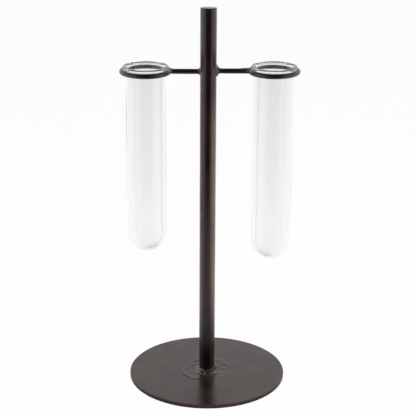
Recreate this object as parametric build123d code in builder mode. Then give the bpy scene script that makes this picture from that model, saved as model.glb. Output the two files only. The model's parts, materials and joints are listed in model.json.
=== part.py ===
from build123d import *
import os
from math import cos, degrees, radians, sin, sqrt

# Test tube vase: a welded metal stand that holds two glass test tubes as bud vases.
# Millimetres, +Z up. The origin is the centre of the base disc's underside, the arms lie
# along X, and the front of the vase faces -Y.

os.makedirs("parts", exist_ok=True)

# Base disc
base_diameter = 127.0
base_thickness = 3.0
base_top_round = 0.6
base_bottom_round = 0.3

# Post
post_diameter = 12.7
stand_height = 305.0
post_edge_round = 0.5

# Arms and rings, all of one wire, bent and welded by hand, so the two sides differ a little.
# A reach is from the post's axis to the ring's, and a drop is from the post's top to the ring.
wire_diameter = 4.0
left_ring_reach = 48.2
right_ring_reach = 50.5
left_ring_drop = 49.3
right_ring_drop = 48.8
ring_clearance = 0.75
ring_split = 0.8

# Glass tubes, drawn by hand, so one is a little longer than the other
tube_diameter = 31.0
glass_thickness = 1.3
glass_bottom_thickness = 1.8
left_tube_length = 150.0
right_tube_length = 156.5
lip_diameter = 35.5
lip_bead_diameter = 2.3
lip_seat_gap = 0.25

# Welds: how far each bead runs out from the corner that it fills
foot_weld_leg = 3.6
foot_weld_height = 2.4
left_arm_weld_leg = 2.8
left_arm_weld_rise = 3.7
right_arm_weld_leg = 3.6
right_arm_weld_rise = 5.2

# Shapes of the weld faces: how far a face sags in, how deep an arm weld starts inside the post
# and how much of its rise it has there
foot_weld_sag_share = 0.12
arm_weld_sag_share = 0.25
arm_weld_root_share = 0.33
arm_weld_root_rise_share = 0.86

# Radii and places that follow from the sizes above
base_radius = base_diameter / 2
post_radius = post_diameter / 2
wire_radius = wire_diameter / 2
tube_radius = tube_diameter / 2
bore_radius = tube_radius - glass_thickness
ring_radius = tube_radius + ring_clearance + wire_radius
bead_radius = lip_bead_diameter / 2
bead_circle_radius = lip_diameter / 2 - bead_radius

# The lip bead rests on the wire's inner shoulder: the two round sections lie side by side,
# so the height between their centres is one leg of a right triangle.
bead_to_wire = bead_radius + wire_radius + lip_seat_gap
bead_rise = sqrt(bead_to_wire**2 - (ring_radius - bead_circle_radius) ** 2)

# Middles of the two rings, which are also on the tubes' axes
left_ring_centre = (-left_ring_reach, 0, stand_height - left_ring_drop)
right_ring_centre = (right_ring_reach, 0, stand_height - right_ring_drop)

# Lumps of the foot weld: turn round the post (0 is +X, a quarter is the back), place along
# the weld's leg, height and radius, the last three as shares of the leg.
foot_lump_shares = (
    (0.02, 0.25, 0.30, 0.55),
    (0.11, 0.15, 0.20, 0.50),
    (0.21, 0.20, 0.25, 0.46),
    (0.31, 0.12, 0.22, 0.50),
    (0.41, 0.10, 0.15, 0.45),
    (0.50, 0.05, 0.20, 0.48),
    (0.59, 0.20, 0.10, 0.50),
    (0.67, 0.45, 0.22, 0.52),
    (0.75, 0.62, 0.16, 0.56),
    (0.83, 0.48, 0.36, 0.60),
    (0.91, 0.55, 0.20, 0.54),
)

# Lumps of an arm weld: turn round the arm (0 is the back, a quarter is the top), distance
# from the arm's axis as a share of the weld's rise, and radius as a share of its leg.
left_arm_lump_shares = (
    (0.03, 0.62, 0.50),
    (0.16, 0.58, 0.46),
    (0.27, 0.66, 0.44),
    (0.40, 0.60, 0.50),
    (0.52, 0.64, 0.47),
    (0.66, 0.60, 0.52),
    (0.78, 0.72, 0.46),
    (0.90, 0.58, 0.50),
)
right_arm_lump_shares = (
    (0.00, 0.60, 0.44),
    (0.13, 0.64, 0.42),
    (0.25, 0.70, 0.38),
    (0.37, 0.62, 0.44),
    (0.49, 0.74, 0.40),
    (0.60, 0.78, 0.46),
    (0.71, 0.70, 0.44),
    (0.80, 0.78, 0.38),
    (0.90, 0.64, 0.42),
)

# Lumps of a ring weld, from the wire's centre at the split: towards the post, towards the
# back, up, and radius, all as shares of the wire's diameter.
left_ring_lump_shares = (
    (0.38, 0.32, 0.20, 0.46),
    (0.36, -0.34, 0.10, 0.46),
    (0.52, 0.00, 0.02, 0.60),
    (0.86, 0.02, 0.04, 0.60),
)
right_ring_lump_shares = (
    (0.40, 0.32, 0.22, 0.46),
    (0.40, -0.34, 0.24, 0.47),
    (0.54, 0.00, 0.04, 0.61),
    (0.92, 0.03, 0.10, 0.66),
    (1.26, 0.00, 0.04, 0.60),
)


def weld_lump(place, radius, pole_tilt=0):
    """Add one round lump of weld metal, its poles upright or tilted towards X, to the weld."""
    with Locations(place):
        Sphere(radius, rotation=(0, pole_tilt, 0))


# Base disc

with BuildPart() as base_disc:
    with BuildSketch(Plane.XY):
        Circle(base_radius)
    extrude(amount=base_thickness)
    fillet(base_disc.faces().sort_by(Axis.Z)[-1].edges(), base_top_round)
    fillet(base_disc.faces().sort_by(Axis.Z)[0].edges(), base_bottom_round)
base_disc.part.label = "base_disc"
export_step(base_disc.part, "parts/base_disc.step")

# Post, standing on the disc

with BuildPart() as post:
    with BuildSketch(Plane.XY.offset(base_thickness)):
        Circle(post_radius)
    extrude(amount=stand_height - base_thickness)
    fillet(post.faces().sort_by(Axis.Z)[-1].edges(), post_edge_round)
post.part.label = "post"
export_step(post.part, "parts/post.step")

# Foot weld: a hollow-faced bead round the post's foot, with its lumps

with BuildPart() as foot_weld:
    with BuildSketch(Plane.XZ):
        with BuildLine():
            toe = (post_radius + foot_weld_leg, base_thickness)
            top = (post_radius, base_thickness + foot_weld_height)
            Polyline(top, (post_radius, base_thickness), toe)
            SagittaArc(toe, top, foot_weld_sag_share * foot_weld_leg)
        make_face()
    revolve(axis=Axis.Z)
    for turn, out, up, size in foot_lump_shares:
        lump_reach = post_radius + out * foot_weld_leg
        lump_angle = radians(360 * turn)
        weld_lump(
            (
                lump_reach * cos(lump_angle),
                lump_reach * sin(lump_angle),
                base_thickness + up * foot_weld_leg,
            ),
            size * foot_weld_leg,
        )
    add(post.part, mode=Mode.SUBTRACT)
    add(base_disc.part, mode=Mode.SUBTRACT)
foot_weld.part.label = "foot_weld"
export_step(foot_weld.part, "parts/foot_weld.step")


def side_of(centre):
    """Which way a ring lies from the post: 1 towards +X, or -1."""
    return 1 if centre[0] > 0 else -1


def wire_section_plane(centre, turn):
    """Plane across the wire, turned from the split, its local X pointing at the ring's axis."""
    split_direction = 180 if centre[0] > 0 else 0
    angle = radians(split_direction + turn)
    return Plane(
        origin=(centre[0] + ring_radius * cos(angle), ring_radius * sin(angle), centre[2]),
        x_dir=(-cos(angle), -sin(angle), 0),
        z_dir=(sin(angle), -cos(angle), 0),
    )


def make_ring(centre, name):
    """Wire bent to a circle, its ends facing each other across the split by the arm."""
    split_turn = degrees(ring_split / ring_radius)
    with BuildPart() as ring:
        with BuildSketch(wire_section_plane(centre, split_turn / 2)):
            Circle(wire_radius)
        revolve(axis=Axis(centre, (0, 0, 1)), revolution_arc=360 - split_turn)
    ring.part.label = name
    export_step(ring.part, f"parts/{name}.step")
    return ring


def make_arm(centre, name):
    """Round rod from the post to the ring, its ends shaped to the post and to the wire."""
    arm_section = Plane(origin=(0, 0, centre[2]), x_dir=(0, 1, 0), z_dir=(side_of(centre), 0, 0))
    with BuildPart() as arm:
        with BuildSketch(arm_section):
            Circle(wire_radius)
        extrude(amount=abs(centre[0]) - ring_radius - wire_radius / 2)
        add(post.part, mode=Mode.SUBTRACT)
        with BuildSketch(wire_section_plane(centre, 180)):
            Circle(wire_radius)
        revolve(axis=Axis(centre, (0, 0, 1)), mode=Mode.SUBTRACT)
    arm.part.label = name
    export_step(arm.part, f"parts/{name}.step")
    return arm


def make_arm_weld(centre, name, arm, leg, rise, lump_shares):
    """Lumpy collar where an arm meets the post, hollow towards the arm."""
    side = side_of(centre)
    arm_start = (0, 0, centre[2])
    with BuildPart() as weld:
        with BuildSketch(Plane(origin=arm_start, x_dir=(side, 0, 0), z_dir=(0, -side, 0))):
            with BuildLine():
                root_reach = post_radius - arm_weld_root_share * leg
                root = (root_reach, arm_weld_root_rise_share * rise)
                toe = (post_radius + leg, wire_radius)
                Polyline(toe, (post_radius + leg, 0), (root_reach, 0), root)
                SagittaArc(root, toe, arm_weld_sag_share * leg)
            make_face()
        revolve(axis=Axis(arm_start, (side, 0, 0)))
        for turn, spread, size in lump_shares:
            lump_back = spread * rise * cos(radians(360 * turn))
            lump_up = spread * rise * sin(radians(360 * turn))
            lump_out = side * sqrt(post_radius**2 - lump_back**2)
            weld_lump((lump_out, lump_back, centre[2] + lump_up), size * leg)
        add(post.part, mode=Mode.SUBTRACT)
        add(arm.part, mode=Mode.SUBTRACT)
    weld.part.label = name
    export_step(weld.part, f"parts/{name}.step")
    return weld


def make_ring_weld(centre, name, ring, arm, lump_shares):
    """Run of lumps that closes the ring's split and joins the ring to its arm."""
    side = side_of(centre)
    split_reach = centre[0] - side * ring_radius
    with BuildPart() as weld:
        for inward, back, up, size in lump_shares:
            lump_place = (
                split_reach - side * inward * wire_diameter,
                back * wire_diameter,
                centre[2] + up * wire_diameter,
            )
            weld_lump(lump_place, size * wire_diameter, pole_tilt=90)
        add(ring.part, mode=Mode.SUBTRACT)
        add(arm.part, mode=Mode.SUBTRACT)
    weld.part.label = name
    export_step(weld.part, f"parts/{name}.step")
    return weld


def make_tube(centre, name, length):
    """Glass tube with a round bottom and a rolled lip, drawn from its lowest point up."""
    neck_round = bead_circle_radius - tube_radius
    mouth_round = bead_circle_radius - bore_radius
    bead_height = length - bead_radius
    bottom = (centre[0], 0, centre[2] + bead_rise + bead_radius - length)
    with BuildPart() as tube:
        with BuildSketch(Plane(origin=bottom, x_dir=(1, 0, 0), z_dir=(0, -1, 0))):
            with BuildLine():
                outer_bottom = JernArc((0, 0), (1, 0), tube_radius, 90)
                outer_wall = Line(outer_bottom @ 1, (tube_radius, bead_height - bead_radius - neck_round))
                neck = JernArc(outer_wall @ 1, (0, 1), neck_round, -90)
                bead = JernArc(neck @ 1, (1, 0), bead_radius, 180)
                mouth = JernArc(bead @ 1, (-1, 0), mouth_round, 90)
                inner_wall = Line(mouth @ 1, (bore_radius, glass_bottom_thickness + bore_radius))
                inner_bottom = JernArc(inner_wall @ 1, (0, -1), bore_radius, -90)
                Line(inner_bottom @ 1, (0, 0))
            make_face()
        revolve(axis=Axis(centre, (0, 0, 1)))
    tube.part.label = name
    export_step(tube.part, f"parts/{name}.step")
    return tube


# Rings, arms, welds and tubes, left (-X) and right (+X)

left_ring = make_ring(left_ring_centre, "left_ring")
right_ring = make_ring(right_ring_centre, "right_ring")
left_arm = make_arm(left_ring_centre, "left_arm")
right_arm = make_arm(right_ring_centre, "right_arm")
left_arm_weld = make_arm_weld(
    left_ring_centre,
    "left_arm_weld",
    left_arm,
    left_arm_weld_leg,
    left_arm_weld_rise,
    left_arm_lump_shares,
)
right_arm_weld = make_arm_weld(
    right_ring_centre,
    "right_arm_weld",
    right_arm,
    right_arm_weld_leg,
    right_arm_weld_rise,
    right_arm_lump_shares,
)
left_ring_weld = make_ring_weld(
    left_ring_centre, "left_ring_weld", left_ring, left_arm, left_ring_lump_shares
)
right_ring_weld = make_ring_weld(
    right_ring_centre, "right_ring_weld", right_ring, right_arm, right_ring_lump_shares
)
left_test_tube = make_tube(left_ring_centre, "left_test_tube", left_tube_length)
right_test_tube = make_tube(right_ring_centre, "right_test_tube", right_tube_length)
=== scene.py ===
import json
import logging
import math
from dataclasses import dataclass
from enum import Enum
from typing import Sequence

import bpy
import numpy as np
from mathutils import Matrix, Vector

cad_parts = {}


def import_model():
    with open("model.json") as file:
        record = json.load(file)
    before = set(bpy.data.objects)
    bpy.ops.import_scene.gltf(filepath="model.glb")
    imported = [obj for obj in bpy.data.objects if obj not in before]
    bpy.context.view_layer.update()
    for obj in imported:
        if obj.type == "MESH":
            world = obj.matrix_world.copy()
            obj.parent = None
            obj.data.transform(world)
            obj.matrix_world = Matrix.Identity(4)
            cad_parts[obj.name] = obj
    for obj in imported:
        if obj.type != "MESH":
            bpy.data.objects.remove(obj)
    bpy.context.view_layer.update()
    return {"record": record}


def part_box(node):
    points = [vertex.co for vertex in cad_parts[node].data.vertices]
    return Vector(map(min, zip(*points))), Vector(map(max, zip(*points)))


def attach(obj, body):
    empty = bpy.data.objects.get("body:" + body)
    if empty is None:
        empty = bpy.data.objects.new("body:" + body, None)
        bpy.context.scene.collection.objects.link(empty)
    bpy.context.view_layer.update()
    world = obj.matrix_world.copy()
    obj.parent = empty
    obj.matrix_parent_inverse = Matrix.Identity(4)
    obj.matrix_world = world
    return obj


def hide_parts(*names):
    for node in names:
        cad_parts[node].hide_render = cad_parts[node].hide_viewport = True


# Test tube vase: the looks of a welded metal stand that holds two glass test tubes.
# Metres, +Z up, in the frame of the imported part; sizes are written as millimetres times MM.

MM = 0.001
PHOTO_WIDTH = 416
NOISE_MIDDLE = (0.3, 0.7)
PATCH_DETAIL = 3.0
BEAD_FULLNESS = 0.6
# Numbers of the mix node's sockets: the share, the first, the second, and the output.
MIX_SOCKETS = {"FLOAT": (0, 2, 3, 0), "RGBA": (0, 6, 7, 2)}

log = logging.getLogger("test_tube_vase")

Array = np.ndarray
Colour = tuple[float, float, float]
Span = tuple[float, float]
Ramp = tuple[float, float, float, float]
Counts = tuple[int, ...]
Table = tuple[tuple[float, ...], ...]
Piece = bpy.types.Object
Socket = bpy.types.NodeSocket


class Side(Enum):
    """Which way a holder reaches from the post."""

    LEFT = -1
    RIGHT = 1

    @property
    def word(self) -> str:
        """Name of the side in lower case, as the CAD nodes are named."""
        return self.name.lower()


# Number fields


def smooth_step(values: Array, low: float, high: float) -> Array:
    """Ease from 0 at low to 1 at high: 3 t^2 - 2 t^3, with t the clamped share of the way.

    Args:
        values: numbers of any shape.
        low: where the result leaves 0.
        high: where the result reaches 1.

    Returns:
        Numbers from 0 to 1.
    """
    share = np.clip((values - low) / (high - low), 0.0, 1.0)
    return share * share * (3.0 - 2.0 * share)


def bell(values: Array, width: float) -> Array:
    """Bell curve exp(-(v / width)^2)."""
    return np.exp(-((values / width) ** 2))


def apart(values: Array, place: float, full: float = 1.0) -> Array:
    """Distance from a place on a circle of the given length, from minus half to plus half of it."""
    return (values - place + 0.5 * full) % full - 0.5 * full


def lump_sum(turn: Array, share: Array, lumps: Table, stretch: float) -> Array:
    """Sum of round bumps over a bead: h exp(-(dt / w)^2 - ((s - s0) / (k w))^2) for each lump.

    Args:
        turn: share of the full turn round the bead.
        share: share s of the way over the bead.
        lumps: each lump's place on the turn, s0, height h in millimetres and width w.
        stretch: how many times wider k a lump is over the bead than round it.

    Returns:
        Outward shifts in metres.
    """
    total = np.zeros(np.broadcast(turn, share).shape)
    for place, along, height, width in lumps:
        total += height * bell(apart(turn, place), width) * bell(share - along, stretch * width)
    return total * MM


@dataclass(frozen=True)
class Waves:
    """Smooth irregular field: height sum sin(2 pi p.d_k / w_k + q_k) / sqrt(n / 2) over n waves k.

    Every wave has its own direction d_k, phase q_k and a length w_k near the given one.
    """

    height: float
    length: float
    seed: int = 0
    count: int = 14
    variety: Span = (0.7, 1.5)

    def over(self, points: Array, seed: int = 0) -> Array:
        """Read the field.

        Args:
            points: places, with x, y and z in the last axis.
            seed: number added to the field's own seed.

        Returns:
            A number for each place, with a spread of about the height.
        """
        dice = np.random.default_rng(self.seed + seed)
        directions = dice.normal(size=(self.count, 3))
        directions /= np.linalg.norm(directions, axis=1, keepdims=True)
        lengths = self.length * dice.uniform(*self.variety, self.count)
        phases = dice.uniform(0.0, 2.0 * np.pi, self.count)
        angles = 2.0 * np.pi * (points @ (directions / lengths[:, None]).T) + phases
        return self.height * (np.sin(angles).sum(-1) / math.sqrt(self.count / 2.0))


def joined(*parts: Array | float) -> Array:
    """Numbers of shapes that fit each other, stacked along a new last axis."""
    return np.stack(np.broadcast_arrays(*parts), -1)


def turns(count: int) -> Array:
    """Angles of a full turn in count equal steps: 2 pi j / count."""
    return np.linspace(0.0, 2.0 * np.pi, count, endpoint=False)


def arc(centre: Span, radius: float, start: float, stop: float, count: int) -> Array:
    """Points on an arc of a profile: centre + radius (cos a, sin a).

    Args:
        centre: distance from the axis and height.
        radius: radius of the arc.
        start: first angle a in degrees.
        stop: last angle a in degrees.
        count: number of points.

    Returns:
        Distances from the axis and heights, count by 2.
    """
    angles = np.radians(np.linspace(start, stop, count))
    return joined(centre[0] + radius * np.cos(angles), centre[1] + radius * np.sin(angles))


def revolve(profile: Array, around: int) -> Array:
    """Grid of a profile turned round Z: (r_i cos a_j, r_i sin a_j, z_i).

    Args:
        profile: distances from the axis and heights, one row for each ring.
        around: number of points round each ring.

    Returns:
        Places, rings by around by 3.
    """
    angle = turns(around)
    radius, height = profile[:, :1], profile[:, 1:]
    return joined(radius * np.cos(angle), radius * np.sin(angle), height)


# Meshes


def outward(points: Array, quads: Array, fans: Array) -> bool:
    """Tell whether a closed skin's faces point outwards.

    Args:
        points: corner places, n by 3.
        quads: corner numbers of the four-sided faces.
        fans: corner numbers of the triangles.

    Returns:
        True when the sum of a . (b x c) over the triangles is positive.
    """
    triangles = np.concatenate([quads[:, [0, 1, 2]], quads[:, [0, 2, 3]], fans])
    a, b, c = (points[triangles[:, k]] for k in range(3))
    return float(np.einsum("ij,ij->", a, np.cross(b, c))) > 0.0


def skin(name: str, rings: Array, ends: Sequence) -> Piece:
    """Closed skin over a stack of rings: (i, j) joins (i + 1, j) and (i, j + 1), j wrapping round.

    Args:
        name: name of the new object.
        rings: places, rings by points by 3.
        ends: the places that close the first and the last ring with a fan of triangles.

    Returns:
        The new smooth object at the origin, its faces outwards.
    """
    count, around = rings.shape[:2]
    index = np.arange(count * around).reshape(count, around)
    after = np.roll(index, -1, axis=1)
    points = np.concatenate([rings.reshape(-1, 3), np.asarray(ends, float)])
    first, last = count * around, count * around + 1
    caps = (joined(first, after[0], index[0]), joined(last, index[-1], after[-1]))
    fans = np.concatenate(caps)
    quads = joined(index[:-1], after[:-1], after[1:], index[1:]).reshape(-1, 4)
    if not outward(points - points.mean(0), quads, fans):
        quads, fans = quads[:, ::-1], fans[:, ::-1]
    mesh = bpy.data.meshes.new(name)
    mesh.from_pydata(points, [], quads.tolist() + fans.tolist())
    mesh.shade_smooth()
    piece = bpy.data.objects.new(name, mesh)
    bpy.context.scene.collection.objects.link(piece)
    return piece


# Finishes


class Nodes:
    """Short hand for building one node tree."""

    def __init__(self, owner: bpy.types.Material | bpy.types.World) -> None:
        """Empty the owner's node tree and keep it.

        Args:
            owner: the new material or world.
        """
        owner.use_nodes = True
        self.tree = owner.node_tree
        self.tree.nodes.clear()

    def add(self, kind: str, settings: dict | None = None, **sockets: object) -> bpy.types.Node:
        """Add a node, set its settings, and set or link its input sockets.

        Args:
            kind: Blender's type name of the node.
            settings: values of the node's own properties.
            **sockets: input sockets by name, with _ for a space.

        Returns:
            The new node.
        """
        node = self.tree.nodes.new(kind)
        for key, value in (settings or {}).items():
            setattr(node, key, value)
        for key, value in sockets.items():
            self.feed(node.inputs[key.replace("_", " ")], value)
        return node

    def feed(self, socket: Socket, value: object) -> None:
        """Give an input socket a value, or a link when the value is an output socket.

        Args:
            socket: the input socket.
            value: what it gets.
        """
        if isinstance(value, Socket):
            self.tree.links.new(value, socket)
        else:
            socket.default_value = value

    def work(self, kind: str, operation: str, *values: object) -> bpy.types.Node:
        """Add a node that works on values, given to its input sockets in order.

        Args:
            kind: Blender's type name of the node.
            operation: Blender's name of the operation.
            *values: values or output sockets.

        Returns:
            The new node.
        """
        node = self.add(kind, {"operation": operation})
        for socket, value in zip(node.inputs, values):
            self.feed(socket, value)
        return node

    def math(self, operation: str, *values: object) -> Socket:
        """Result of an operation, by Blender's name of it, on numbers."""
        return self.work("ShaderNodeMath", operation, *values).outputs[0]

    def times(self, first: object, second: object) -> Socket:
        """Product of two numbers."""
        return self.math("MULTIPLY", first, second)

    def place(self) -> Socket:
        """Place on the object, in its own coordinates."""
        return self.add("ShaderNodeTexCoord").outputs["Object"]

    def part(self, vector: Socket, axis: str) -> Socket:
        """Part of a vector along the axis of the given letter."""
        return self.add("ShaderNodeSeparateXYZ", Vector=vector).outputs[axis]

    def length(self, vector: Socket) -> Socket:
        """Length of a vector."""
        return self.work("ShaderNodeVectorMath", "LENGTH", vector).outputs["Value"]

    def noise(self, place: Socket, length: float, detail: float = 2.0) -> Socket:
        """Noise over a place, from 0 to 1, with patches of the length and so many finer layers."""
        node = self.add("ShaderNodeTexNoise", Vector=place, Scale=1.0 / length, Detail=detail)
        return node.outputs["Fac"]

    def remap(
        self, value: Socket, start: float, end: float, low: float, high: float, way: str = "LINEAR"
    ) -> Socket:
        """Carry a number from one span over to another, and no further than its ends.

        Args:
            value: output socket of the number.
            start: number that gives low; it may be above end.
            end: number that gives high.
            low: result at start.
            high: result at end.
            way: Blender's name of the way between.

        Returns:
            The result's output.
        """
        ends = {"From_Min": start, "From_Max": end, "To_Min": low, "To_Max": high}
        node = self.add("ShaderNodeMapRange", {"interpolation_type": way}, Value=value, **ends)
        return node.outputs["Result"]

    def ease(self, value: Socket, start: float, end: float) -> Socket:
        """Ease a number from 0 at start to 1 at end."""
        return self.remap(value, start, end, 0.0, 1.0, "SMOOTHSTEP")

    def spread(self, value: Socket, low: float, high: float) -> Socket:
        """Spread the middle of a noise over low to high."""
        return self.remap(value, *NOISE_MIDDLE, low, high)

    def patches(self, place: Socket, size: float, low: float, high: float) -> Socket:
        """Patches of about the given size over a place, from low to high."""
        return self.spread(self.noise(place, size, PATCH_DETAIL), low, high)

    def mix(self, share: object, first: object, second: object, kind: str = "FLOAT") -> Socket:
        """Mix two numbers or two colours, each a value or an output socket.

        Args:
            share: 0 for the first and 1 for the second.
            first: what comes out at 0, a colour as a triple.
            second: what comes out at 1.
            kind: Blender's name of what is mixed.

        Returns:
            The mixed output.
        """
        node = self.add("ShaderNodeMix", {"data_type": kind})
        *inputs, output = MIX_SOCKETS[kind]
        for number, value in zip(inputs, (share, first, second)):
            self.feed(node.inputs[number], (*value, 1.0) if isinstance(value, tuple) else value)
        return node.outputs[output]

    def bump(self, height: Socket, depth: float, normal: Socket | None = None) -> Socket:
        """Bend the surface's direction by a height field.

        Args:
            height: output socket of the field.
            depth: height in metres of a field value of 1.
            normal: the direction's output before it, if it is bent already.

        Returns:
            The new direction's output.
        """
        node = self.add("ShaderNodeBump", Strength=1.0, Distance=depth, Height=height)
        if normal is not None:
            self.feed(node.inputs["Normal"], normal)
        return node.outputs["Normal"]

    def coat(self, **sockets: object) -> None:
        """End the tree in a surface with the given input sockets."""
        shader = self.add("ShaderNodeBsdfPrincipled", **sockets)
        self.add("ShaderNodeOutputMaterial", Surface=shader.outputs["BSDF"])


@dataclass(frozen=True)
class Rubbing:
    """Blackened bar rubbed back to brown between two heights, only on its lamp-lit right side:
    partly wear, partly painted light.
    """

    # brown of the rubbed metal, pale enough that it paints the lit right side lighter
    colour: Colour = (0.115, 0.070, 0.056)
    rise: Span = (35 * MM, 95 * MM)
    fall: Span = (255 * MM, 190 * MM)
    across: Span = (0.6 * MM, 4.8 * MM)
    patch: float = 18.0 * MM
    least: float = 0.55

    def share(self, nodes: Nodes, place: Socket) -> Socket:
        """Share of rubbed metal and painted light: eased in height and across, and broken up by
        noise.

        Args:
            nodes: the node tree.
            place: object coordinates.

        Returns:
            The share's output, from 0 to 1.
        """
        height = nodes.part(place, "Z")
        tall = nodes.times(nodes.ease(height, *self.rise), nodes.ease(height, *self.fall))
        # painted light: the brown goes only on the +X side, the side that the key lamp lights
        side = nodes.ease(nodes.part(place, "X"), *self.across)
        broken = nodes.patches(place, self.patch, self.least, 1.0)
        return nodes.times(tall, nodes.times(side, broken))


@dataclass(frozen=True)
class HeatTint:
    """Paler reddish cast round a disc's middle, from the heat of a weld, and on its worn rim."""

    colour: Colour = (0.040, 0.030, 0.028)
    fading: Span = (23.0 * MM, 9.0 * MM)
    patch: float = 7.0 * MM
    least: float = 0.25
    rim: Span = (63.2 * MM, 63.4 * MM)
    rim_share: float = 0.6

    def share(self, nodes: Nodes, place: Socket) -> Socket:
        """Share of tinted metal: eased out from the middle and broken up by noise, and on the rim.

        Args:
            nodes: the node tree.
            place: object coordinates.

        Returns:
            The share's output, from 0 to 1.
        """
        distance = nodes.length(place)
        near = nodes.ease(distance, *self.fading)
        tinted = nodes.times(near, nodes.patches(place, self.patch, self.least, 1.0))
        worn = nodes.times(nodes.ease(distance, *self.rim), self.rim_share)
        return nodes.math("MAXIMUM", tinted, worn)


@dataclass(frozen=True)
class BlackenedSteel:
    """Satin black finish with a brown cast over steel, mottled, with a fine grain."""

    name: str = "blackened_steel"
    slot: str = "dark_steel"
    dark: Colour = (0.0022, 0.0010, 0.0008)
    brown: Colour = (0.0085, 0.0042, 0.0035)
    sheen: Colour = (1.0, 0.91, 0.90)
    refraction: float = 1.7
    smoothest: float = 0.21
    roughest: float = 0.29
    patch: float = 14.0 * MM
    cloud: float = 6.0 * MM
    grain: float = 0.6 * MM
    grain_depth: float = 0.002 * MM
    swell_depth: float = 0.006 * MM
    # the base's heat tint, and the post's rubbing, which also paints light on its right side
    wear: Rubbing | HeatTint | None = None

    def paint(self, nodes: Nodes) -> None:
        """Build the finish: patches in colour, clouds in roughness, swell and grain in the bump.

        Args:
            nodes: the node tree.
        """
        place = nodes.place()
        patches = nodes.patches(place, self.patch, 0.0, 1.0)
        colour = nodes.mix(patches, self.dark, self.brown, "RGBA")
        # mix in the wear colour; on the post this also paints its lit right side paler
        if self.wear:
            colour = nodes.mix(self.wear.share(nodes, place), colour, self.wear.colour, "RGBA")
        swell = nodes.bump(nodes.noise(place, self.cloud), self.swell_depth)
        grain = nodes.noise(place, self.grain, PATCH_DETAIL)
        nodes.coat(
            Base_Color=colour,
            Roughness=nodes.patches(place, self.cloud, self.smoothest, self.roughest),
            IOR=self.refraction,
            Specular_Tint=(*self.sheen, 1.0),
            Normal=nodes.bump(grain, self.grain_depth, swell),
        )


@dataclass(frozen=True)
class ClearGlass:
    """Clear polished glass of a drawn tube, with faint streaks along its length."""

    name: str = "clear_tube_glass"
    slot: str = "clear_glass"
    colour: Colour = (0.984, 0.974, 0.968)
    refraction: float = 1.47
    streak: float = 9.0 * MM
    streak_stretch: float = 0.06
    streak_depth: float = 0.010 * MM
    smoothest: float = 0.04
    roughest: float = 0.08

    def paint(self, nodes: Nodes) -> None:
        """Build the finish: streaks in the bump and a trace of haze in the roughness.

        Args:
            nodes: the node tree.
        """
        scale = (1.0, 1.0, self.streak_stretch)
        stretched = nodes.add("ShaderNodeMapping", Vector=nodes.place(), Scale=scale)
        streaks = nodes.noise(stretched.outputs["Vector"], self.streak)
        nodes.coat(
            Base_Color=(*self.colour, 1.0),
            Roughness=nodes.spread(streaks, self.smoothest, self.roughest),
            IOR=self.refraction,
            Transmission_Weight=1.0,
            Normal=nodes.bump(streaks, self.streak_depth),
        )


PLAIN = BlackenedSteel()
# the post's finish: rubbed brown, partly painted light on its right side
RUBBED_AND_PAINTED_LIT_SIDE = BlackenedSteel(
    name="rubbed_blackened_steel",
    brown=(0.0130, 0.0065, 0.0052),
    sheen=(1.0, 0.87, 0.86),
    smoothest=0.17,
    roughest=0.25,
    grain=0.8 * MM,
    grain_depth=0.004 * MM,
    wear=Rubbing(),
)
HEATED = BlackenedSteel(
    name="heated_blackened_steel",
    dark=(0.0060, 0.0026, 0.0021),
    brown=(0.0240, 0.0120, 0.0100),
    sheen=(1.0, 0.84, 0.82),
    patch=22.0 * MM,
    wear=HeatTint(),
)
WELD = BlackenedSteel(
    name="blackened_weld",
    slot="weld_metal",
    brown=(0.0160, 0.0085, 0.0075),
    refraction=2.2,
    smoothest=0.28,
    roughest=0.42,
    patch=3.0 * MM,
    cloud=2.2 * MM,
    grain=0.5 * MM,
    grain_depth=0.003 * MM,
    swell_depth=0.015 * MM,
)


class Workshop:
    """Dresses pieces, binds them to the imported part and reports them."""

    def __init__(self) -> None:
        """Start with no material made."""
        self.materials: dict[str, bpy.types.Material] = {}

    def hand_over(
        self, piece: Piece, finish: BlackenedSteel | ClearGlass, body: str, node: str
    ) -> None:
        """Give a piece its finish, its body and the CAD node that it stands for.

        Args:
            piece: the new object.
            finish: what its surface is made of.
            body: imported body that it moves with.
            node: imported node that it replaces.
        """
        if finish.name not in self.materials:
            self.materials[finish.name] = bpy.data.materials.new(finish.name)
            finish.paint(Nodes(self.materials[finish.name]))
        piece.data.materials.append(self.materials[finish.name])
        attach(piece, body)
        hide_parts(node)
        log.info("%s: %d faces on %s for %s", piece.name, len(piece.data.polygons), body, node)


# The stand


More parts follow.
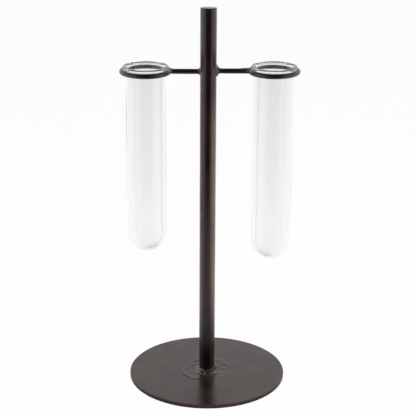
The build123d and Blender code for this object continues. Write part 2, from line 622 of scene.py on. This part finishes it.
@dataclass
class Base:
    """Round base disc with eased edges, drawn up a little round the heat of the foot weld.

    Its rows are those under it, round its lower and upper edge and over its top. A ridge bearing is
    a bearing in degrees, a share of the ridge's height, and a width in degrees. A spot is a place
    across and back, two half widths and a height, in millimetres.
    """

    radius: float
    thickness: float
    top_round: float = 0.35 * MM
    bottom_round: float = 0.15 * MM
    under_hub: float = 4 * MM
    top_hub: float = 0.8 * MM
    ridge_radius: float = 19.5 * MM
    ridge_width: float = 1.3 * MM
    ridge_height: float = 0.28 * MM
    ridge_bearings: Table = (
        (205.0, 1.0, 22.0), (245.0, 0.9, 16.0), (118.0, 0.8, 18.0),
        (62.0, 0.8, 16.0), (20.0, 0.5, 14.0), (320.0, 0.20, 25.0),
    )
    spots: Table = (
        (-12.4, 6.9, 1.4, 0.8, 0.50),
        (14.0, 11.5, 5.0, 3.2, 0.12),
        (-13.5, -1.5, 4.0, 1.2, 0.05),
    )
    wander: Waves = Waves(0.5 * MM, 13 * MM, 3)
    blisters: Waves = Waves(0.05 * MM, 5 * MM, 4)
    blistered: float = 0.75
    unevenness: Waves = Waves(0.03 * MM, 45 * MM, 5)
    rows: Counts = (8, 6, 10, 160)
    around: int = 256

    def rise(self, points: Array) -> Array:
        """Height that the top gains: a broken ridge round the foot, blisters in it, faint waves.

        It is ridge exp(-((r - r0) / w)^2) m(b) + u (1 - step(r)) + v + spots, with irregular fields
        u and v, r0 wandering a little and m(b) a sum of bells over the bearing b.

        Args:
            points: places on the top, with x, y and z in the last axis.

        Returns:
            The gains in height.
        """
        east, north = points[..., 0], points[..., 1]
        distance = np.hypot(east, north)
        bearing = np.degrees(np.arctan2(north, east))
        strength = np.zeros(distance.shape)
        for middle, height, width in self.ridge_bearings:
            strength += height * bell(apart(bearing, middle, 360.0), width)
        offset = distance - self.ridge_radius - self.wander.over(points)
        ridge = self.ridge_height * bell(offset, self.ridge_width) * strength
        inside = 1.0 - smooth_step(distance, self.blistered * self.ridge_radius, self.ridge_radius)
        gain = ridge + self.blisters.over(points) * inside + self.unevenness.over(points)
        for across, back, half_width, half_depth, height in self.spots:
            wide = bell(east / MM - across, half_width)
            gain += height * MM * wide * bell(north / MM - back, half_depth)
        return gain

    def build(self) -> Piece:
        """Turn the disc's section round Z and raise its top by rise().

        Returns:
            The disc.
        """
        under_rows, lower_rows, upper_rows, top_rows = self.rows
        flat = self.radius - self.bottom_round
        under = np.linspace((self.under_hub, 0.0), (flat, 0.0), under_rows, endpoint=False)
        lower = arc((flat, self.bottom_round), self.bottom_round, -90, 0, lower_rows)
        edge = self.radius - self.top_round
        upper = arc((edge, self.thickness - self.top_round), self.top_round, 0, 90, upper_rows)
        ends = (edge, self.thickness), (self.top_hub, self.thickness)
        top = np.linspace(*ends, top_rows + 1)[1:]
        grid = revolve(np.concatenate([under, lower, upper, top]), self.around)
        first = under_rows + lower_rows
        grid[first:, :, 2] += self.rise(grid[first:])
        return skin("base", grid, (np.zeros(3), grid[-1].mean(0)))


@dataclass
class Post:
    """Upright round bar, its top edge rounded, not quite true along its length.

    Its rows are those up its wall, round its edge and over its crown.
    """

    radius: float
    foot: float
    top: float
    edge_round: float = 0.4 * MM
    edge_end: float = 78.0
    crown: float = 0.12 * MM
    hub: float = 0.3 * MM
    saw_slope: float = 0.06
    sawn: Span = (8 * MM, 1 * MM)
    unevenness: Waves = Waves(0.012 * MM, 9 * MM, 11)
    stretch: float = 0.25
    rows: Counts = (150, 12, 14)
    around: int = 128

    def build(self) -> Piece:
        """Turn the bar's section round Z, with a crown like 1 - (r / r0)^2, and make it irregular.

        The top is not sawn square: it rises by -y times the saw's slope.

        Returns:
            The post.
        """
        wall_rows, edge_rows, crown_rows = self.rows
        shoulder = self.top - self.crown - self.edge_round
        wall = np.linspace((self.radius, self.foot), (self.radius, shoulder), wall_rows)
        inner = self.radius - self.edge_round
        edge = arc((inner, shoulder), self.edge_round, 0, self.edge_end, edge_rows)[1:]
        rim, below = edge[-1]
        face = np.linspace(rim, self.hub, crown_rows)[1:]
        crown = joined(face, self.top - (self.top - below) * (face / rim) ** 2)
        grid = revolve(np.concatenate([wall, edge, crown]), self.around)
        shift = self.unevenness.over(grid * np.array([1.0, 1.0, self.stretch])) / self.radius
        grid[..., :2] *= 1.0 + shift[..., None]
        sawn = smooth_step(grid[..., 2], *(self.top - length for length in self.sawn))
        grid[..., 2] -= self.saw_slope * grid[..., 1] * sawn
        return skin("post_bar", grid, ((0, 0, self.foot), (0, 0, self.top)))


@dataclass
class FootWeld:
    """Lumpy bead of weld metal round the foot of the post, longer in front and higher on the right.

    Places round it are shares of the full turn from +X; a lump is as in lump_sum().
    """

    post_radius: float
    ground: float
    leg: float = 3.2 * MM
    front_leg: float = 2.2 * MM
    front: Span = (0.79, 0.16)
    height: float = 2.6 * MM
    side_height: float = 1.5 * MM
    side: Span = (0.0, 0.09)
    sink: float = 0.06 * MM
    hollow: float = 0.45 * MM
    wave_radius: float = 7 * MM
    leg_waves: Waves = Waves(0.35 * MM, 6 * MM, 21)
    climb_waves: Waves = Waves(0.3 * MM, 5 * MM, 22)
    skin_waves: Waves = Waves(0.05 * MM, 2.2 * MM, 23)
    around: int = 288
    steps: int = 56
    stretch: float = 6.0
    lumps: Table = (
        (0.03, 0.42, 1.20, 0.060), (0.15, 0.55, 0.60, 0.065), (0.28, 0.45, 0.65, 0.065),
        (0.40, 0.55, 0.60, 0.060), (0.51, 0.50, 0.85, 0.055), (0.60, 0.55, 1.00, 0.050),
        (0.66, 0.60, 0.60, 0.030), (0.705, 0.42, -0.90, 0.026), (0.76, 0.62, 1.30, 0.044),
        (0.83, 0.50, 1.30, 0.044), (0.89, 0.60, 1.00, 0.044), (0.955, 0.50, 1.20, 0.055),
    )

    def build(self) -> Piece:
        """Carry a section round the post and push it out by its lumps.

        With s from 0 at the post to 1 at the disc, the section runs from (post, height) to
        (post + leg, ground), shifted by sin(pi s)^0.6 (lumps - hollow) along its slanted normal.

        Returns:
            The weld bead.
        """
        share = np.linspace(0.0, 1.0, self.steps)[:, None]
        angle = turns(self.around)[None, :]
        turn = angle / (2.0 * np.pi)
        east, north = np.cos(angle), np.sin(angle)
        circle = self.wave_radius * joined(east, north, 0.0)
        front, side = (bell(apart(turn, place), width) for place, width in (self.front, self.side))
        reach = self.leg + self.front_leg * front + self.side_height * side
        reach = reach + self.leg_waves.over(circle)
        climb = self.height + self.side_height * side + self.climb_waves.over(circle)
        radius = self.post_radius - self.sink + share * (reach + self.sink)
        height = self.ground - self.sink + (1.0 - share) * (climb + self.sink)
        slope = np.hypot(reach, climb)
        rough = joined(radius * east, radius * north, height)
        out = lump_sum(turn, share, self.lumps, self.stretch) + self.skin_waves.over(rough)
        out = np.sin(np.pi * share) ** BEAD_FULLNESS * (out - self.hollow)
        radius = np.maximum(radius + out * climb / slope, self.post_radius - self.sink)
        height = np.maximum(height + out * reach / slope, self.ground - self.sink)
        grid = joined(radius * east, radius * north, height)
        ends = (self.ground + self.height, self.ground - self.sink)
        return skin("foot_bead", grid, ((0, 0, ends[0]), (0, 0, ends[1])))


@dataclass(frozen=True)
class Welding:
    """Welds at both ends of one arm: leg along it and rise up the post, and the lumps of each.

    An arm lump is as in lump_sum(), and a knot lump is a place and three half sizes in millimetres.
    """

    leg: float
    rise: float
    arm_lumps: Table
    knot_lumps: Table


WELDING = {
    Side.LEFT: Welding(
        leg=2.8 * MM,
        rise=3.7 * MM,
        arm_lumps=((0.10, 0.35, 0.35, 0.10), (0.45, 0.45, 0.30, 0.10), (0.70, 0.40, 0.40, 0.09)),
        knot_lumps=(
            (0.3, 1.2, 0.6, 2.0, 2.1, 1.6), (0.3, -1.2, 0.3, 2.0, 2.1, 1.7),
            (1.4, 0.0, 0.3, 2.2, 2.1, 1.9), (2.8, 0.1, 0.1, 2.4, 1.9, 1.9),
        ),
    ),
    Side.RIGHT: Welding(
        leg=3.6 * MM,
        rise=5.0 * MM,
        arm_lumps=(
            (0.05, 0.40, 0.50, 0.08), (0.20, 0.30, 0.45, 0.07), (0.34, 0.25, 0.70, 0.06),
            (0.43, 0.22, 1.10, 0.05), (0.50, 0.52, 0.90, 0.06), (0.535, 0.20, -1.10, 0.035),
            (0.60, 0.42, 1.10, 0.05), (0.64, 0.20, 1.30, 0.05), (0.73, 0.35, 0.90, 0.06),
            (0.88, 0.40, 0.50, 0.07),
        ),
        knot_lumps=(
            (0.3, 1.2, 0.7, 2.0, 2.2, 1.7), (0.3, -1.3, 0.9, 2.0, 2.2, 1.6),
            (1.5, 0.0, 0.4, 2.3, 2.2, 2.0), (3.1, 0.1, 0.4, 2.4, 2.1, 2.0),
            (4.6, 0.0, 0.3, 2.4, 1.9, 2.0), (6.4, 0.0, 0.3, 2.6, 1.9, 1.95),
        ),
    ),
}


@dataclass
class Holder:
    """One side's wire: the arm, the ring and the welds at both ends of the arm.

    A size is the number of points round a piece and of rows along it.
    """

    side: Side
    reach: float
    height: float
    ring_radius: float
    wire_radius: float
    post_radius: float
    welding: Welding
    seed: int
    split: float = 0.8 * MM
    bite: float = 0.15 * MM
    rod_size: Counts = (48, 60)
    rod_stretch: float = 0.4
    rod_waves: Waves = Waves(0.015 * MM, 7 * MM)
    ring_size: Counts = (48, 241)
    ring_waves: Waves = Waves(0.05 * MM, 30 * MM, 1)
    bead_size: Counts = (160, 48)
    bead_sink: float = 0.08 * MM
    bead_sag: float = 0.30
    bead_stretch: float = 3.0
    wave_radius: float = 4 * MM
    rise_waves: Waves = Waves(0.10, 4 * MM, 2)
    leg_waves: Waves = Waves(0.12, 4 * MM, 3)
    bead_waves: Waves = Waves(0.07 * MM, 1.3 * MM, 4)
    bead_root: float = 2.5 * MM
    knot_size: Counts = (128, 72)
    knot_inset: float = 1.2 * MM
    knot_crowding: float = 1.4
    knot_sharpness: float = 9.0
    knot_reach: float = 12 * MM
    knot_halvings: int = 30
    knot_waves: Waves = Waves(0.05 * MM, 1.2 * MM, 5)
    lip_overlap: float = 0.35 * MM
    lip_room: float = 0.03 * MM
    lip_slope: float = 0.8

    def beside(self, out: float) -> Array:
        """Place on the arm's axis at a distance from the post's axis."""
        return np.array([self.side.value * out, 0.0, self.height])

    def section(self, around: int) -> tuple[Array, Array]:
        """Unit circle across the arm: its share to the back and its share up."""
        return np.cos(turns(around)), np.sin(turns(around))

    def on_post(self, back: Array) -> Array:
        """Distance of the post's surface from its axis plane: sqrt(r^2 - y^2)."""
        return np.sqrt(self.post_radius**2 - back**2)

    def arm(self) -> Piece:
        """Rod from just inside the post to just inside the ring's wire, its ends shaped to both.

        Across (y, z) = w (cos t, sin t) it runs from x = sqrt(rp^2 - y^2) to
        x = reach - sqrt((R + sqrt(w^2 - z^2))^2 - y^2).

        Returns:
            The arm.
        """
        around, rows = self.rod_size
        back, up = (self.wire_radius * part for part in self.section(around))
        start = self.on_post(back) - self.bite
        outside = self.ring_radius + np.sqrt(np.maximum(self.wire_radius**2 - up**2, 0.0))
        stop = self.reach - np.sqrt(outside**2 - back**2) + self.bite
        out = start + np.linspace(0.0, 1.0, rows)[:, None] * (stop - start)
        grid = joined(self.side.value * out, back, self.height + up)
        wave = self.rod_waves.over(grid * np.array([self.rod_stretch, 1.0, 1.0]), self.seed)
        grid[..., 1:] += (wave / self.wire_radius)[..., None] * joined(back, up)
        ends = (self.beside(start.mean()), self.beside(stop.mean()))
        return skin(f"{self.side.word}_arm_rod", grid, ends)

    def ring(self) -> Piece:
        """Wire bent to a circle: (R + w cos s)(cos f, sin f), up w sin s, open by the split.

        Returns:
            The ring.
        """
        around, rows = self.ring_size
        half = 0.5 * self.split / self.ring_radius
        towards_post = np.pi if self.side is Side.RIGHT else 0.0
        bend = towards_post + np.linspace(half, 2.0 * np.pi - half, rows)[:, None]
        across, up = self.section(around)
        radius = self.ring_radius + self.wire_radius * across
        grid = joined(radius * np.cos(bend), radius * np.sin(bend), self.wire_radius * up)
        grid += self.beside(self.reach)
        grid[..., 2] += self.ring_waves.over(grid * np.array([1.0, 1.0, 0.0]), self.seed)
        return skin(f"{self.side.word}_ring_wire", grid, (grid[0].mean(0), grid[-1].mean(0)))

    def arm_weld(self) -> Piece:
        """Collar from the post to the arm, hollow like a poured fillet, with lumps.

        With s from 0 at the post to 1 on the arm, the section runs from the rise on the post to the
        leg on the arm, shifted by sin(pi s)^0.6 lumps - sag leg sin(pi s) along its normal.

        Returns:
            The weld collar.
        """
        around, steps = self.bead_size
        inmost = self.wire_radius - self.bead_sink
        share = np.linspace(0.0, 1.0, steps)[:, None]
        across, up = self.section(around)
        turn = turns(around)[None, :] / (2.0 * np.pi)
        circle = self.wave_radius * joined(0.0, across, up)[None]
        rise = self.welding.rise * (1.0 + self.rise_waves.over(circle, self.seed))
        leg = self.welding.leg * (1.0 + self.leg_waves.over(circle, self.seed))
        toe = np.clip(rise * across, -self.post_radius, self.post_radius)
        toe_out = self.on_post(toe) - self.bead_sink
        end_out = self.on_post(self.wire_radius * across) + leg
        out = toe_out + share * (end_out - toe_out)
        off = rise + share * (inmost - rise)
        slope = np.hypot(end_out - toe_out, rise - self.wire_radius)
        rough = joined(out, off * across, off * up)
        bumps = lump_sum(turn, share, self.welding.arm_lumps, self.bead_stretch)
        bumps += self.bead_waves.over(rough, self.seed)
        full = np.sin(np.pi * share)
        push = full**BEAD_FULLNESS * bumps - self.bead_sag * self.welding.leg * full
        out = out + push * (rise - self.wire_radius) / slope
        off = np.maximum(off + push * (end_out - toe_out) / slope, inmost)
        grid = joined(self.side.value * out, off * across, self.height + off * up)
        ends = (self.beside(self.post_radius - self.bead_root), self.beside(end_out.mean()))
        return skin(f"{self.side.word}_arm_bead", grid, ends)

    def knot(self) -> Piece:
        """Knot of weld metal over the ring's split, one surface round a middle.

        In every direction the surface is where sum exp(-k g) over the lumps g = |(p - c) / a| - 1
        is 1, found by halving the distance. Under the tube's lip it is no higher than the wire and
        the room over it, and further out it may rise with the slope.

        Returns:
            The knot.
        """
        around, rows = self.knot_size
        inward = -self.side.value
        split_out = self.reach - self.ring_radius
        middle = self.beside(split_out - self.knot_inset)
        tilt = np.pi * np.linspace(0.0, 1.0, rows + 2)[1:-1, None] ** self.knot_crowding
        across, up = self.section(around)
        rays = joined(inward * np.cos(tilt), np.sin(tilt) * across, np.sin(tilt) * up)
        rays = np.concatenate([rays.reshape(-1, 3), [[inward, 0.0, 0.0], [-inward, 0.0, 0.0]]])
        lumps = np.array(self.welding.knot_lumps) * MM
        place = self.beside(split_out) + lumps[:, :3] * np.array([inward, 1.0, 1.0])
        near = np.zeros(len(rays))
        far = np.full(len(rays), self.knot_reach)
        for _ in range(self.knot_halvings):
            reach = 0.5 * (near + far)
            points = middle + rays * reach[:, None]
            gaps = np.linalg.norm((points[:, None] - place) / lumps[:, 3:], axis=-1) - 1.0
            inside = np.exp(-self.knot_sharpness * gaps).sum(1) > 1.0
            near = np.where(inside, reach, near)
            far = np.where(inside, far, reach)
        points = middle + rays * near[:, None]
        points += rays * self.knot_waves.over(points, self.seed)[:, None]
        from_axis = np.hypot(points[:, 0] + inward * self.reach, points[:, 1])
        beyond_lip = np.maximum(from_axis - self.ring_radius + self.lip_overlap, 0.0)
        roof = self.height + self.wire_radius + self.lip_room + self.lip_slope * beyond_lip
        points[:, 2] = np.minimum(points[:, 2], roof)
        grid = points[:-2].reshape(rows, around, 3)
        return skin(f"{self.side.word}_ring_knot", grid, (points[-2], points[-1]))


@dataclass
class Tube:
    """Glass test tube with a round bottom and a rolled lip.

    Its rows are those along a wall or round the bottom, round a small edge, and round a large one.
    """

    side: Side
    axis: float
    lowest: float
    top: float
    lip_radius: float
    bore_radius: float
    wall: float = 1.3 * MM
    bottom_wall: float = 1.4 * MM
    lip_height: float = 2.0 * MM
    lip_top_round: float = 0.8 * MM
    lip_under_round: float = 0.3 * MM
    neck: float = 1.9 * MM
    mouth: float = 2.6 * MM
    unevenness: Waves = Waves(0.035 * MM, 14 * MM, 60)
    stretch: float = 0.12
    last_angle: float = 89.0
    rows: Counts = (48, 12, 18)
    around: int = 192

    def profile(self) -> tuple[Array, int]:
        """Section of the glass, up the outside, over the lip and down the inside.

        Returns:
            Distances from the axis and heights, and the number of the first inside row.
        """
        long, small, large = self.rows
        radius, bore, last = self.bore_radius + self.wall, self.bore_radius, self.last_angle
        under = self.top - self.lip_height
        wall_top = under - self.neck
        mouth_bottom = self.top - self.mouth
        edge_in = self.lip_radius - self.lip_under_round
        edge_out = self.lip_radius - self.lip_top_round
        low = self.lowest + radius
        inner_low = self.lowest + self.bottom_wall + bore
        outer = [
            arc((0.0, low), radius, -last, 0, long),
            np.linspace((radius, low), (radius, wall_top), long + 2)[1:-1],
            arc((radius + self.neck, wall_top), self.neck, 180, 90, small),
            arc((edge_in, under + self.lip_under_round), self.lip_under_round, -90, 0, small),
            arc((edge_out, self.top - self.lip_top_round), self.lip_top_round, 0, 90, large),
        ]
        inner = [
            arc((bore + self.mouth, mouth_bottom), self.mouth, 90, 180, large),
            np.linspace((bore, mouth_bottom), (bore, inner_low), long + 2)[1:-1],
            arc((0.0, inner_low), bore, 0, -last, long),
        ]
        return np.concatenate(outer + inner), sum(len(part) for part in outer)

    def build(self) -> Piece:
        """Turn the section round the tube's axis and let the inside wander like drawn glass.

        The inside radius is multiplied by 1 + v / r, with v an irregular field stretched along Z.

        Returns:
            The tube.
        """
        profile, inside = self.profile()
        grid = revolve(profile, self.around)
        stretched = grid[inside:] * np.array([1.0, 1.0, self.stretch])
        wander = self.unevenness.over(stretched, self.side.value) / self.bore_radius
        grid[inside:, :, :2] *= 1.0 + wander[..., None]
        grid[..., 0] += self.axis
        heights = (self.lowest, self.lowest + self.bottom_wall)
        ends = tuple((self.axis, 0.0, height) for height in heights)
        return skin(f"{self.side.word}_glass_tube", grid, ends)


# Studio


@dataclass
class Camera:
    """Camera of the photograph: far off, looking down a little, with a long lens."""

    across: float = 0.313 * MM
    distance: float = 949.582 * MM
    height: float = 471.35 * MM
    pitch: float = 18.972
    roll: float = 0.312
    focal_pixels: float = 1261.279
    sensor: float = 36.0
    nearest: float = 10 * MM

    def build(self) -> None:
        """Place the camera: it looks along +Y, pitched down and rolled a little."""
        lens = bpy.data.cameras.new("camera")
        lens.sensor_width = self.sensor
        lens.lens = self.sensor * self.focal_pixels / PHOTO_WIDTH
        lens.clip_start = self.nearest
        camera = bpy.data.objects.new("camera", lens)
        place = Matrix.Translation((self.across, -self.distance, self.height))
        tilt = Matrix.Rotation(math.radians(90.0 - self.pitch), 4, "X")
        camera.matrix_world = place @ tilt @ Matrix.Rotation(math.radians(self.roll), 4, "Z")
        bpy.context.scene.collection.objects.link(camera)
        bpy.context.scene.camera = camera


@dataclass
class Studio:
    """Pale floor, a surround that gloss sees darker at the front and behind, and two soft lamps.

    A bearing is degrees from the front and a level. A ramp is the two ends of a span, in distance
    or in height of the direction, and the level at each end. A lamp is a place and a width in
    millimetres, and its watts.
    """

    front_edge: float = -430.0 * MM
    extent: float = 3000.0 * MM
    floor_colour: Colour = (0.80, 0.80, 0.80)
    shown: float = 0.95
    surround: float = 0.45
    floor_in_front: float = 0.45
    floor_in_glass: float = 1.0
    surround_in_glass: float = 0.9
    most_glass_faces: int = 3
    far_floor: Ramp = (350.0 * MM, 1100.0 * MM, 1.0, 0.88)
    # painted shadow: to gloss the floor darkens within this distance of the foot
    near_floor: Ramp = (60.0 * MM, 135.0 * MM, 0.35, 1.0)
    fall: Ramp = (0.36, 0.75, 1.0, 0.40)
    brightest: float = 1.1
    bearings: Table = (
        (180.0, 0.78), (150.0, 0.92), (105.0, 1.00), (75.0, 0.88),
        (55.0, 0.68), (38.0, 0.30), (22.0, 0.03), (0.0, 0.02),
    )
    lamps: Table = (
        (700.0, -700.0, 900.0, 600.0, 12.0),
        (-900.0, -200.0, 1200.0, 900.0, 5.0),
    )
    aim_height: float = 150 * MM
    most_bounces: int = 24
    most_mirrorings: int = 16

    def level(self, nodes: Nodes, direction: Socket) -> Socket:
        """Brightness that gloss finds at a bearing, by a ramp over (1 - y / hypot(x, y)) / 2.

        Args:
            nodes: the node tree.
            direction: output socket with a direction or a place round the origin.

        Returns:
            The brightness output.
        """
        flat = nodes.work("ShaderNodeVectorMath", "MULTIPLY", direction, (1.0, 1.0, 0.0))
        unit = nodes.work("ShaderNodeVectorMath", "NORMALIZE", flat.outputs[0])
        share = nodes.math("MULTIPLY_ADD", nodes.part(unit.outputs[0], "Y"), -0.5, 0.5)
        ramp = nodes.add("ShaderNodeValToRGB", Fac=share)
        spots = ramp.color_ramp.elements
        for angle, _ in self.bearings[1:-1]:
            spots.new(0.5 + 0.5 * math.cos(math.radians(angle)))
        for spot, (_, level) in zip(spots, self.bearings):
            spot.color = (level, level, level, 1.0)
        return nodes.times(ramp.outputs["Color"], self.brightest)

    def rays(self, nodes: Nodes) -> tuple[Socket, Socket, Socket]:
        """Sort the rays that arrive.

        Args:
            nodes: the node tree.

        Returns:
            Whether a ray comes from anything but a matt surface, whether anything on its way
            mirrored it, and whether it passed through glass, but through few faces of it.
        """
        ray = nodes.add("ShaderNodeLightPath").outputs
        clear = nodes.math("MAXIMUM", ray["Is Camera Ray"], ray["Is Transmission Ray"])
        seen = nodes.math("MAXIMUM", clear, ray["Is Glossy Ray"])
        mirrored = nodes.math("MINIMUM", ray["Glossy Depth"], 1.0)
        entered = nodes.math("MINIMUM", ray["Transmission Depth"], 1.0)
        few = nodes.math("LESS_THAN", ray["Transmission Depth"], self.most_glass_faces + 0.5)
        return seen, mirrored, nodes.times(entered, few)

    def floor(self) -> None:
        """Lay a flat sheet from the front edge back, white to the eye but for the soft shadow.

        Through glass it is a little dimmer far off, and gloss sees a painted shadow darkening it
        close to the foot.
        """
        front, far = self.front_edge, self.extent
        corners = [(-far, front, 0), (far, front, 0), (far, far, 0), (-far, far, 0)]
        mesh = bpy.data.meshes.new("floor")
        mesh.from_pydata(corners, [], [(0, 1, 2, 3)])
        floor = bpy.data.objects.new("floor", mesh)
        bpy.context.scene.collection.objects.link(floor)
        material = bpy.data.materials.new("pale_floor")
        nodes = Nodes(material)
        seen, mirrored, passed = self.rays(nodes)
        place = nodes.place()
        distance = nodes.length(place)
        level = nodes.math("MAXIMUM", self.level(nodes, place), self.floor_in_front)
        # painted shadow round the foot, seen only in gloss
        level = nodes.times(level, nodes.remap(distance, *self.near_floor))
        level = nodes.math("MAXIMUM", level, nodes.times(passed, self.floor_in_glass))
        direct = nodes.add("ShaderNodeLightPath").outputs["Is Camera Ray"]
        straight = nodes.mix(direct, nodes.remap(distance, *self.far_floor), 1.0)
        matt = nodes.add("ShaderNodeBsdfDiffuse", Color=(*self.floor_colour, 1.0))
        white = nodes.add("ShaderNodeEmission", Strength=nodes.mix(mirrored, straight, level))
        mixed = nodes.add("ShaderNodeMixShader", Fac=nodes.times(seen, self.shown))
        nodes.feed(mixed.inputs[1], matt.outputs[0])
        nodes.feed(mixed.inputs[2], white.outputs[0])
        nodes.add("ShaderNodeOutputMaterial", Surface=mixed.outputs[0])
        mesh.materials.append(material)

    def world(self) -> None:
        """Set a white surround at full strength to the eye and through glass, and levels in gloss.

        The levels go by bearing and fall with height. As light on matt surfaces it is even.
        """
        world = bpy.data.worlds.new("studio")
        bpy.context.scene.world = world
        nodes = Nodes(world)
        seen, mirrored, passed = self.rays(nodes)
        direction = nodes.add("ShaderNodeTexCoord").outputs["Generated"]
        falling = nodes.remap(nodes.part(direction, "Z"), *self.fall)
        level = nodes.times(self.level(nodes, direction), falling)
        level = nodes.math("MAXIMUM", level, nodes.times(passed, self.surround_in_glass))
        strength = nodes.mix(seen, self.surround, nodes.mix(mirrored, 1.0, level))
        white = (1.0, 1.0, 1.0, 1.0)
        background = nodes.add("ShaderNodeBackground", Color=white, Strength=strength)
        nodes.add("ShaderNodeOutputWorld", Surface=background.outputs[0])

    def light(self) -> None:
        """Hang the soft lamps, aimed at the middle of the object and hidden from reflections."""
        aim = Vector((0.0, 0.0, self.aim_height))
        for number, (x, y, z, width, power) in enumerate(self.lamps):
            lamp = bpy.data.lights.new(f"softbox_{number}", "AREA")
            lamp.size = width * MM
            lamp.energy = power
            holder = bpy.data.objects.new(lamp.name, lamp)
            place = Vector((x, y, z)) * MM
            turn = (aim - place).to_track_quat("-Z", "Y").to_matrix().to_4x4()
            holder.matrix_world = Matrix.Translation(place) @ turn
            holder.visible_glossy = holder.visible_transmission = False
            bpy.context.scene.collection.objects.link(holder)

    def build(self) -> None:
        """Lay the floor, set the surround, hang the lamps and let light pass glass often."""
        self.floor()
        self.world()
        self.light()
        scene = bpy.context.scene
        scene.view_settings.view_transform = "Standard"
        scene.cycles.max_bounces = scene.cycles.transmission_bounces = self.most_bounces
        scene.cycles.glossy_bounces = self.most_mirrorings


def halves(node: str) -> tuple[Array, Array]:
    """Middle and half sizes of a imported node's box."""
    low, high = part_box(node)
    return np.array((low + high) / 2), np.array((high - low) / 2)


def main() -> None:
    """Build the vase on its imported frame, piece by piece, then the studio round it."""
    logging.basicConfig(level=logging.INFO, format="%(name)s: %(message)s")
    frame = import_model()
    shop = Workshop()

    disc_radius, _, half_thickness = halves("base_disc")[1]
    thickness = 2 * half_thickness
    shop.hand_over(Base(disc_radius, thickness).build(), HEATED, "stand", "base_disc")
    post_radius = halves("post")[1][0]
    post = Post(radius=post_radius, foot=thickness, top=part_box("post")[1].z)
    shop.hand_over(post.build(), RUBBED_AND_PAINTED_LIT_SIDE, "stand", "post")
    shop.hand_over(FootWeld(post_radius, thickness).build(), WELD, "stand", "foot_weld")

    mounts = frame["record"]["mounts"][1:]
    bores = {mount["name"]: mount["dims"]["r_mm"] * MM for mount in mounts}
    for side in Side:
        centre, half = halves(f"{side.word}_ring")
        holder = Holder(
            side=side, reach=abs(centre[0]), height=centre[2], ring_radius=half[1] - half[2],
            wire_radius=half[2], post_radius=post_radius, welding=WELDING[side],
            seed=50 + 10 * side.value,
        )
        for piece, finish, name in (
            (holder.arm(), PLAIN, "arm"),
            (holder.ring(), PLAIN, "ring"),
            (holder.arm_weld(), WELD, "arm_weld"),
            (holder.knot(), WELD, "ring_weld"),
        ):
            shop.hand_over(piece, finish, "stand", f"{side.word}_{name}")
        node = f"{side.word}_test_tube"
        low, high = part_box(node)
        centre, half = halves(node)
        tube = Tube(
            side=side, axis=centre[0], lowest=low.z, top=high.z, lip_radius=half[0],
            bore_radius=bores[f"{side.word}_tube_bore"],
        )
        shop.hand_over(tube.build(), ClearGlass(), f"{side.word}_tube", node)

    Studio().build()
    Camera().build()


if __name__ == "__main__":
    main()
